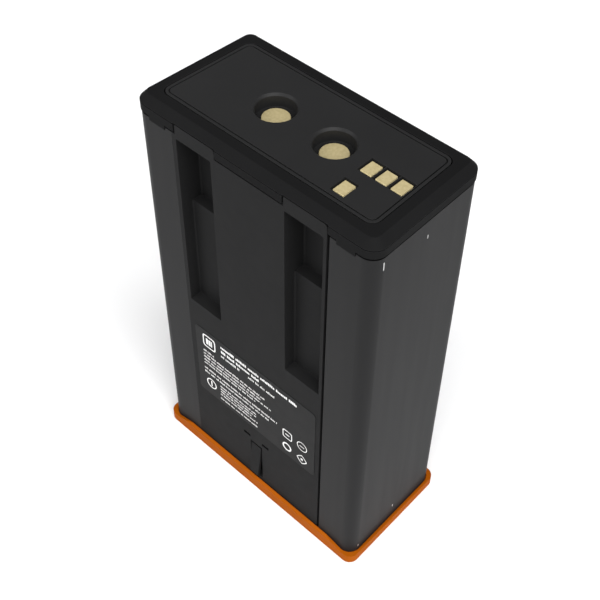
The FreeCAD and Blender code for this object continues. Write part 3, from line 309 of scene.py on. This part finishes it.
finishSpecs = {
    "shell": surface(
        (0.0135, 0.0135, 0.0138), (0.0155, 0.0155, 0.0158), (0.40, 0.44), 0.12 * mm, 0.0012 * mm,
        stretch=(1, 1, 0.06), edge=0.3 * mm, specular=0.05),
    "panel_plastic": surface(
        (0.0128, 0.0128, 0.0130), (0.0144, 0.0144, 0.0146), (0.50, 0.55), specular=0.024),
    # the cap's edge tone is far above its light tone: a painted highlight along the cap's rounded edges
    "cap_plastic": surface(
        (0.0086, 0.0086, 0.0088), (0.0100, 0.0100, 0.0102), (0.48, 0.54),
        specular=0.010, edge=0.35 * mm, wornTone=(0.07, 0.07, 0.071)),
    "plate_plastic": surface(
        (0.0130, 0.0130, 0.0132), (0.0150, 0.0150, 0.0152), (0.45, 0.52), specular=0.16),
    "label_film": surface(
        (0.0160, 0.0160, 0.0162), (0.0174, 0.0174, 0.0176), (0.38, 0.44), 0.2 * mm, 0.001 * mm,
        edge=0.05 * mm, specular=0.03),
    "label_ink": surface(
        (0.68, 0.68, 0.6715), (0.80, 0.80, 0.79), (0.5, 0.6), edge=0.01 * mm, wear=0.0),
    "gold_contact": surface(
        (0.53, 0.44, 0.225), (0.63, 0.53, 0.29), (0.34, 0.48), 0.25 * mm, 0.004 * mm,
        metallic=0.35, toneSize=0.0015, roughSize=0.001, edge=0.1 * mm, wear=0.0),
    "bumper_rubber": surface(
        (0.275, 0.063, 0.0012), (0.315, 0.073, 0.002), (0.55, 0.65), 0.5 * mm, 0.012 * mm,
        edge=0.4 * mm, wear=0.12, wornTone=(0.42, 0.13, 0.02), specular=0.03),
    "gasket_rubber": surface(
        (0.0015, 0.0015, 0.0015), (0.0025, 0.0025, 0.0025), (0.8, 0.9), specular=0.0),
    "bright_steel": surface(
        (0.72, 0.72, 0.71), (0.80, 0.80, 0.79), (0.25, 0.38), 0.1 * mm, 0.002 * mm,
        metallic=1.0, wear=0.0),
    "dark_steel": surface(
        (0.020, 0.020, 0.021), (0.032, 0.032, 0.033), (0.35, 0.5), metallic=0.6, wornTone=(0.3, 0.3, 0.3)),
    "circuit_board": surface((0.010, 0.10, 0.035), (0.014, 0.13, 0.048), (0.25, 0.35)),
    "holder_plastic": surface((0.045, 0.045, 0.048), (0.06, 0.06, 0.063), (0.45, 0.55)),
    "cell_sleeve": surface((0.03, 0.14, 0.32), (0.04, 0.17, 0.38), (0.2, 0.3), edge=0.1 * mm),
    "nickel": surface((0.55, 0.54, 0.51), (0.66, 0.65, 0.61), (0.3, 0.42), metallic=1.0, wear=0.0),
    "copper_bar": surface((0.70, 0.32, 0.18), (0.80, 0.40, 0.24), (0.3, 0.45), metallic=1.0, wear=0.0),
    "fuse_body": surface((0.62, 0.58, 0.48), (0.70, 0.66, 0.55), (0.3, 0.4)),
    "chip_plastic": surface((0.014, 0.014, 0.014), (0.02, 0.02, 0.02), (0.4, 0.5)),
    "ribbon_film": surface((0.55, 0.24, 0.02), (0.65, 0.30, 0.03), (0.25, 0.35), edge=0.05 * mm),
    "insulation_paper": surface(
        (0.40, 0.45, 0.36), (0.50, 0.55, 0.45), (0.8, 0.9), 0.6 * mm, 0.03 * mm),
    "foam": surface((0.05, 0.05, 0.05), (0.08, 0.08, 0.08), (0.9, 0.98), 0.5 * mm, 0.08 * mm),
}
finishes = {name: makeFinish(name, spec) for name, spec in finishSpecs.items()}
slotOf = {row["node"]: row["material_slot"] for row in frame["record"]["subparts"]}
for nodeName, nodeObject in frame["nodes"].items():
    nodeObject.material_slots[0].material = finishes[slotOf[nodeName]]
print("finishes ready:", len(finishes))


# mesh helpers: a mesh is an array of vertices in metres and a list of faces

def makePiece(name, vertices, faces, slotName, smooth=True):
    mesh = bpy.data.meshes.new(name)
    mesh.from_pydata(vertices.tolist(), [], faces)
    mesh.polygons.foreach_set("use_smooth", [smooth] * len(mesh.polygons))
    mesh.materials.append(finishes[slotName])
    mesh.update()
    piece = bpy.data.objects.new(name, mesh)
    scene.collection.objects.link(piece)
    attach(piece, "pack")
    return piece


def gridFaces(rows, columns, ring=False):
    # Quads of a grid whose columns close on themselves; in a ring the last row joins the first too. Row r and
    # column c is vertex r * columns + c.
    r, c = np.meshgrid(np.arange(rows if ring else rows - 1), np.arange(columns), indexing="ij")
    low = r * columns
    high = (r + 1) % rows * columns
    after = (c + 1) % columns
    return np.stack([low + c, low + after, high + after, high + c], -1).reshape(-1, 4).tolist()


def blockMesh(boxes):
    # Axis-aligned blocks: each row of boxes is x0, x1, y0, y1, z0, z1. A block's corners and its sides come
    # from two index tables, and each block's faces start 8 vertices after the one before.
    pick = np.array([(0, 2, 4), (1, 2, 4), (1, 3, 4), (0, 3, 4), (0, 2, 5), (1, 2, 5), (1, 3, 5), (0, 3, 5)])
    sides = np.array([(0, 3, 2, 1), (4, 5, 6, 7), (0, 1, 5, 4), (1, 2, 6, 5), (2, 3, 7, 6), (3, 0, 4, 7)])
    faces = (sides[None] + 8 * np.arange(len(boxes))[:, None, None]).reshape(-1, 4)
    return boxes[:, pick].reshape(-1, 3), faces.tolist()


def latheMesh(radii, heights, around, centre):
    # A profile of radius and height turned about an upright axis: x and y are the centre plus the radius
    # times the angle's cosine and sine. The profile's two ends lie on the axis.
    angle = np.linspace(0, 2 * np.pi, around, endpoint=False)
    x = centre[0] + radii[:, None] * np.cos(angle)
    y = centre[1] + radii[:, None] * np.sin(angle)
    z = np.broadcast_to(heights[:, None], x.shape)
    return np.stack([x, y, z], -1).reshape(-1, 3), gridFaces(len(radii), around)


def joinMeshes(parts):
    # One mesh from several, each face's indices shifted by the number of vertices before its own.
    joined = np.concatenate([vertices for vertices, _ in parts])
    faces = []
    start = 0
    for vertices, partFaces in parts:
        faces += [[start + i for i in face] for face in partFaces]
        start += len(vertices)
    return joined, faces


# label print

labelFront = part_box("label_plate")[0].y
labelSpec = {
    "ink": 0.03 * mm,         # thickness of the print
    "seed": 7,
    # each line of marks: left, right, height of its middle, letter height, all in mm
    "lines": [
        (-25.0, 32.1, 107.3, 2.0),
        (-24.8, 4.3, 103.6, 2.0),
        (-25.0, -10.6, 99.9, 1.8),
        (-4.1, 15.6, 99.9, 1.8),
        (-39.3, -30.8, 94.0, 1.3),
        (-39.3, 7.9, 91.2, 1.3),
        (-39.3, 5.2, 88.5, 1.3),
        (-39.3, 12.5, 85.8, 1.3),
        (-39.3, 0.9, 83.2, 1.3),
        (-39.5, 17.4, 78.6, 1.4),
        (-39.5, 10.8, 75.4, 1.4),
        (-27.2, 1.2, 71.5, 1.2),
        (-27.2, 1.1, 69.1, 1.2),
        (-27.2, -2.6, 66.7, 1.2),
        (-27.4, 2.1, 64.2, 1.2),
        (-27.6, 2.0, 60.5, 1.2),
    ],
    "heavy": {"pitch": 0.58, "bar": 0.68},    # pitch over letter height, bar's least width over pitch
    "plain": {"pitch": 0.5, "bar": 0.5},
    "heavyLines": 2,
    "barSpread": 0.2,         # how much wider a bar may be, over pitch
    "wordPitches": (4, 11),   # a word and its space take from 4 to 10 pitches
    "tallShare": 0.45,        # share of bars that stand the full letter height
    "shortBar": 0.72,         # height of the others, over letter height
    "strokePoints": 48,
    # each pictogram: its outline's middle x and z, half size, line width and superellipse power, then its
    # bars' left, right, foot and top, all in mm
    "pictograms": [
        {"outline": (-34.2, 103.2, 4.9, 0.8, 6),
         "bars": [(-36.6, -35.0, 101.0, 105.4), (-34.6, -33.0, 101.0, 105.4), (-32.6, -31.9, 101.0, 105.4)]},
        {"outline": (-34.7, 67.2, 3.9, 0.7, 2), "bars": [(-35.1, -34.3, 65.0, 69.4)]},
        {"outline": (24.9, 75.6, 3.5, 0.6, 6), "bars": [(23.4, 26.4, 75.2, 76.0)]},
        {"outline": (24.6, 64.4, 3.3, 1.0, 2), "bars": []},
        {"outline": (35.7, 75.3, 3.7, 0.5, 2), "bars": [(34.0, 37.4, 75.0, 75.5)]},
        {"outline": (35.7, 63.6, 3.8, 0.7, 1.2), "bars": [(34.9, 36.5, 62.8, 64.4)]},
    ],
}


def textBlocks(spec, front):
    # Generic marks: bars at an even pitch, in words of three to nine with one left out between words. Each
    # stands from the line's foot to the full letter height or to shortBar of it.
    random = np.random.default_rng(spec["seed"])
    rows = []
    for index, (left, right, middle, high) in enumerate(spec["lines"]):
        weight = spec["heavy"] if index < spec["heavyLines"] else spec["plain"]
        pitch = weight["pitch"] * high
        starts = np.arange(left, right - 0.5 * pitch, pitch)
        wordEnds = np.cumsum(random.integers(*spec["wordPitches"], len(starts))) - 1
        starts = np.delete(starts, wordEnds[wordEnds < len(starts)])
        short = random.random(len(starts)) > spec["tallShare"]
        tall = np.where(short, spec["shortBar"], 1.0) * high
        foot = np.full(len(starts), middle - high / 2)
        wide = pitch * (weight["bar"] + spec["barSpread"] * random.random(len(starts)))
        depth = np.full(len(starts), front / mm)
        back = depth - spec["ink"] / mm
        rows.append(np.stack([starts, starts + wide, back, depth, foot, foot + tall], 1))
    return np.concatenate(rows) * mm


def outlineStroke(outline, spec, front):
    # A closed superellipse |x|^p + |z|^p = size^p drawn as a flat band. Its reach at angle a is one over
    # (|cos a|^p + |sin a|^p)^(1/p), and its four loops are outer and inner, each at two depths.
    x, z, size, width, power = outline
    angle = np.linspace(0, 2 * np.pi, spec["strokePoints"], endpoint=False)
    cosine = np.cos(angle)
    sine = np.sin(angle)
    reach = 1 / (np.abs(cosine) ** power + np.abs(sine) ** power) ** (1 / power)
    back = front - spec["ink"]
    inner = size - width
    loops = []
    for radius, depth in ((size, front), (size, back), (inner, back), (inner, front)):
        across = x * mm + radius * reach * cosine * mm
        above = z * mm + radius * reach * sine * mm
        loops.append(np.stack([across, np.full(len(angle), depth), above], 1))
    faces = [face[::-1] for face in gridFaces(len(loops), len(angle), ring=True)]
    return np.concatenate(loops), faces


def makeLabelPrint(spec, front):
    parts = [blockMesh(textBlocks(spec, front))]
    back = front / mm - spec["ink"] / mm
    for item in spec["pictograms"]:
        parts.append(outlineStroke(item["outline"], spec, front))
        if item["bars"]:
            bars = [(left, right, back, front / mm, foot, top) for left, right, foot, top in item["bars"]]
            parts.append(blockMesh(np.array(bars) * mm))
    vertices, faces = joinMeshes(parts)
    piece = makePiece("labelPrint", vertices, faces, "label_film", smooth=False)
    piece.data.materials[0] = finishes["label_ink"]


makeLabelPrint(labelSpec, labelFront)
print("label printed")


# turned power contacts

contactSpec = {
    "centres": {"negative": -18.0, "positive": 18.0},
    "face": 244.5,            # height of the disc's face, mm
    "dome": 0.25,
    "discRadius": 6.9,
    "discFoot": 243.0,
    "edge": 0.5,
    "edgePoints": 7,
    "ringPitch": 0.46,        # spacing of the turning rings, mm
    "ringDepth": 0.03,
    "facePoints": 140,
    "stemRadius": 3.0,
    "stemFoot": 234.0,
    "stemChamfer": 0.3,
    "around": 96,
}


def contactProfile(spec):
    # From the stem's foot up to the disc: a quarter-round edge, then a dome h = dome (1 - (r / rim)^2) with
    # shallow turning rings h = -ringDepth sin^2(pi r / ringPitch), inwards to the middle.
    stem = spec["stemRadius"]
    chamfer = spec["stemChamfer"]
    stemR = [0, stem - chamfer, stem, stem]
    stemZ = [spec["stemFoot"], spec["stemFoot"], spec["stemFoot"] + chamfer, spec["discFoot"]]
    rim = spec["discRadius"] - spec["edge"]
    turn = np.linspace(0, np.pi / 2, spec["edgePoints"])
    edgeR = rim + spec["edge"] * np.cos(turn)
    edgeZ = spec["face"] - spec["edge"] + spec["edge"] * np.sin(turn)
    faceR = np.linspace(rim, 0.0, spec["facePoints"])[1:]
    rings = -spec["ringDepth"] * np.sin(np.pi * faceR / spec["ringPitch"]) ** 2
    faceZ = spec["face"] + spec["dome"] * (1 - (faceR / rim) ** 2) + rings
    radii = np.concatenate([stemR, edgeR[:1], edgeR, faceR])
    heights = np.concatenate([stemZ, [spec["discFoot"]], edgeZ, faceZ])
    return radii * mm, heights * mm


def makeContacts(spec):
    radii, heights = contactProfile(spec)
    for side, x in spec["centres"].items():
        vertices, faces = latheMesh(radii, heights, spec["around"], (x * mm, 0.0))
        piece = makePiece("turnedContact_" + side, vertices, faces, "gold_contact")
        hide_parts("power_contact_" + side)


makeContacts(contactSpec)
print("contacts turned")


# signal contact pads

padSpec = {
    "centres": [(40.3, -1.1), (48.8, -1.1), (57.3, -1.1), (40.3, -18.3)],
    "half": (2.95, 3.95),     # mm
    "top": 249.5,
    "foot": 243.5,
    "round": 0.18,            # corner radius in plan
    "edge": 0.09,             # rounding of the top edge
    "edgePoints": 6,
    "around": 64,
}


def padMesh(spec, centre):
    # Rounded rectangles stacked up: each point is the corner's centre plus the corner radius along its angle;
    # the top edge rolls inwards by a quarter circle and ends in a flat middle.
    around = spec["around"]
    edge = spec["edge"]
    angle = (np.arange(around) + 0.5) * 2 * np.pi / around
    halfX, halfY = spec["half"]
    turn = np.linspace(0, np.pi / 2, spec["edgePoints"])
    shrink = np.concatenate([[edge, 0, 0], edge * (1 - np.cos(turn)), [spec["round"]]])
    sideHeights = [spec["foot"], spec["foot"] + edge, spec["top"] - edge]
    height = np.concatenate([sideHeights, spec["top"] - edge * (1 - np.sin(turn)), [spec["top"]]])
    inner = np.maximum(spec["round"] - shrink, 0.0)[:, None]
    x = centre[0] + np.sign(np.cos(angle)) * (halfX - spec["round"]) + inner * np.cos(angle)
    y = centre[1] + np.sign(np.sin(angle)) * (halfY - spec["round"]) + inner * np.sin(angle)
    z = np.broadcast_to(height[:, None], x.shape)
    vertices = np.stack([x, y, z], -1).reshape(-1, 3) * mm
    lastRow = (len(height) - 1) * around
    caps = [list(range(around))[::-1], list(range(lastRow, lastRow + around))]
    return vertices, gridFaces(len(height), around) + caps


def makePads(spec):
    vertices, faces = joinMeshes([padMesh(spec, centre) for centre in spec["centres"]])
    piece = makePiece("signalPads", vertices, faces, "gold_contact")
    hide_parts("signal_contacts")


makePads(padSpec)
print("pads made")


# cells

cellSpec = {
    "pitch": 19.2,
    "centreY": 7.222,
    "rows": ((-1, 7), (0, 6), (1, 7)),    # each row's place and the cells in it
    "rowAngle": 30.0,         # degrees; neighbouring rows nest at the cosine of it
    "tierFeet": {"lower": 15.0, "middle": 85.0, "upper": 155.0},
    "around": 48,
    # profile from the foot's middle to the head's button: radius, height above the foot, mm
    "profile": [
        (0, 0.0), (7.9, 0.0), (8.3, 0.06), (8.9, 0.3), (9.12, 0.7), (9.15, 1.2), (9.15, 61.0), (9.1, 61.5),
        (8.85, 61.9), (8.75, 62.3), (8.85, 62.7), (9.1, 63.0), (9.15, 63.5), (9.1, 64.0), (8.8, 64.35),
        (8.2, 64.4), (7.2, 64.4), (7.0, 64.2), (5.0, 64.2), (4.7, 64.4), (4.5, 64.9), (4.2, 65.0), (0, 65.0),
    ],
}


def makeCells(spec):
    # One turned can, set out in three nested rows for each tier.
    radii, heights = np.array(spec["profile"]).T
    pitch = spec["pitch"]
    rowPitch = pitch * math.cos(math.radians(spec["rowAngle"]))
    for tier, foot in spec["tierFeet"].items():
        parts = []
        for row, count in spec["rows"]:
            y = (spec["centreY"] + row * rowPitch) * mm
            for column in range(count):
                x = (column - (count - 1) / 2) * pitch * mm
                parts.append(latheMesh(radii * mm, (heights + foot) * mm, spec["around"], (x, y)))
        vertices, faces = joinMeshes(parts)
        piece = makePiece("cellCans_" + tier, vertices, faces, "cell_sleeve")
        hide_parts("cells_" + tier)


makeCells(cellSpec)
print("cells made")
